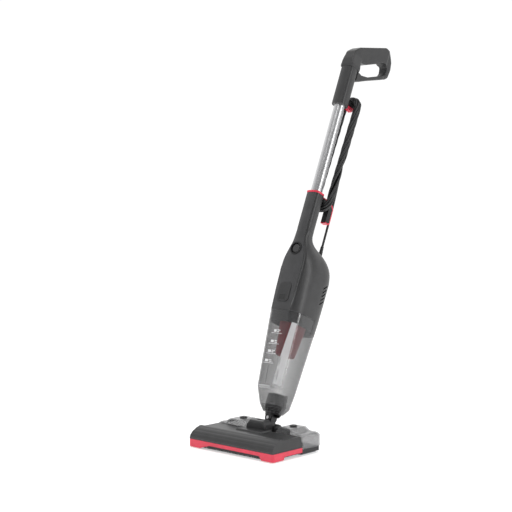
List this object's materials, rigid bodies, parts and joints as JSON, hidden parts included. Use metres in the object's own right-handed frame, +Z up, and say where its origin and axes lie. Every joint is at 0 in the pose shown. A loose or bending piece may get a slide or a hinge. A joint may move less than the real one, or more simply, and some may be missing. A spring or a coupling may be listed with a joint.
{
  "type": "corded stick vacuum with mop",
  "caption": "Upright stick vacuum with loop handle, aluminium wand, wound mains cord on hooks, smoked dust cup and a swivelling floor head with water tank and mop pad.",
  "frame": {"origin": "on the floor, under the middle of the mop pad's lower face", "axes": "+Z up, the front of the floor head faces -Y, +X is to the right seen from the front; the stick leans back towards +Y"},
  "size_m": [0.282, 0.6423, 1.0416],
  "materials": {
    "charcoal": "fine satin texture",
    "charcoal_dark": "satin",
    "coral_red": "satin gloss",
    "smoke_clear": "clear smoked",
    "filter_red": "satin",
    "filter_paper": "pleated",
    "wand_alu": "brushed",
    "steel": "machined",
    "soft_black": "matt",
    "mop_cloth": "microfibre",
    "bristle": "nylon",
    "cord_black": "satin",
    "stub_grey": "satin",
    "pin_metal": "polished"
  },
  "bodies": {
    "head": {"head_shell": "charcoal", "head_base": "charcoal_dark", "bumper_skirt": "coral_red", "hump_cover": "charcoal", "head_duct": "charcoal_dark", "bristle_strips": "bristle", "roller_axles": "steel", "head_screws": "steel", "axle_bushes": "soft_black"},
    "rollers": {"roller_pair": "soft_black"},
    "mop_unit": {"water_tank": "smoke_clear", "tank_bridge": "smoke_clear", "tank_tray": "charcoal_dark", "mop_pad": "mop_cloth"},
    "plug_right": {"tank_plug_right": "soft_black"},
    "plug_left": {"tank_plug_left": "soft_black"},
    "yoke": {"ankle_yoke": "charcoal_dark", "axle_stubs": "stub_grey"},
    "neck": {"neck_fork": "charcoal_dark", "swivel_pins": "steel"},
    "cup": {"dust_cup": "smoke_clear", "inlet_socket": "charcoal_dark"},
    "flap": {"inlet_flap": "soft_black"},
    "hand_unit": {"front_panel": "charcoal", "body_shell": "charcoal", "body_screws": "steel", "collar": "charcoal_dark", "cup_seal": "soft_black", "filter_plate": "charcoal_dark", "filter_basket": "filter_red", "filter_core": "filter_paper", "motor": "steel", "motor_mount_lower": "soft_black", "motor_mount_upper": "soft_black", "fan_cover": "steel", "button_ring": "charcoal_dark", "power_switch": "charcoal_dark", "release_latch": "charcoal_dark", "exhaust_filter": "filter_paper", "strain_relief": "soft_black", "lower_hook": "charcoal_dark", "red_trim": "coral_red", "wand_tube": "wand_alu", "handle_sleeve": "charcoal", "handle_loop": "charcoal", "upper_hook": "charcoal_dark", "hook_brace": "coral_red", "cord_hank": "cord_black", "cord_lead": "cord_black", "cord_tail": "cord_black", "plug_body": "cord_black", "plug_pins": "pin_metal"},
    "fan": {"impeller": "charcoal_dark"},
    "power": {"power_button": "charcoal_dark"},
    "release": {"release_button": "charcoal"}
  },
  "joints": [
    {"name": "roller_spin", "type": "hinge", "parent": "head", "child": "rollers", "pos_m": [0, -0.065, 0.009], "axis": [1, 0, 0], "continuous": true},
    {"name": "mop_unit_slide", "type": "slide", "parent": "head", "child": "mop_unit", "axis": [0, 1, 0], "range_m": [0, 0.075]},
    {"name": "tank_plug_right_pull", "type": "slide", "parent": "mop_unit", "child": "plug_right", "axis": [0, 0, 1], "range_m": [0, 0.02]},
    {"name": "tank_plug_left_pull", "type": "slide", "parent": "mop_unit", "child": "plug_left", "axis": [0, 0, 1], "range_m": [0, 0.02]},
    {"name": "ankle_pitch", "type": "hinge", "parent": "head", "child": "yoke", "pos_m": [0, 0.015, 0.037], "axis": [1, 0, 0], "range_deg": [-60, 23]},
    {"name": "neck_tilt", "type": "hinge", "parent": "yoke", "child": "neck", "pos_m": [0, 0.00971, 0.06804], "axis": [0, 0.9205, -0.3907], "range_deg": [-35, 35]},
    {"name": "cup_lift_off", "type": "slide", "parent": "neck", "child": "cup", "axis": [0, 0.3907, 0.9205], "range_m": [0, 0.03]},
    {"name": "inlet_flap_swing", "type": "hinge", "parent": "cup", "child": "flap", "pos_m": [0, 0.05281, 0.1184], "axis": [1, 0, 0], "range_deg": [-70, 0]},
    {"name": "hand_unit_lift_off", "type": "slide", "parent": "cup", "child": "hand_unit", "axis": [0, 0.3907, 0.9205], "range_m": [0, 0.115]},
    {"name": "impeller_spin", "type": "hinge", "parent": "hand_unit", "child": "fan", "pos_m": [0, 0.11374, 0.34001], "axis": [0, 0.3907, 0.9205], "continuous": true},
    {"name": "power_button_press", "type": "slide", "parent": "hand_unit", "child": "power", "axis": [0, 0.9205, -0.3907], "range_m": [0, 0.002], "stiffness_N_per_m": 900},
    {"name": "release_button_press", "type": "slide", "parent": "hand_unit", "child": "release", "axis": [0, 0.9205, -0.3907], "range_m": [0, 0.003], "stiffness_N_per_m": 1600}
  ]
}
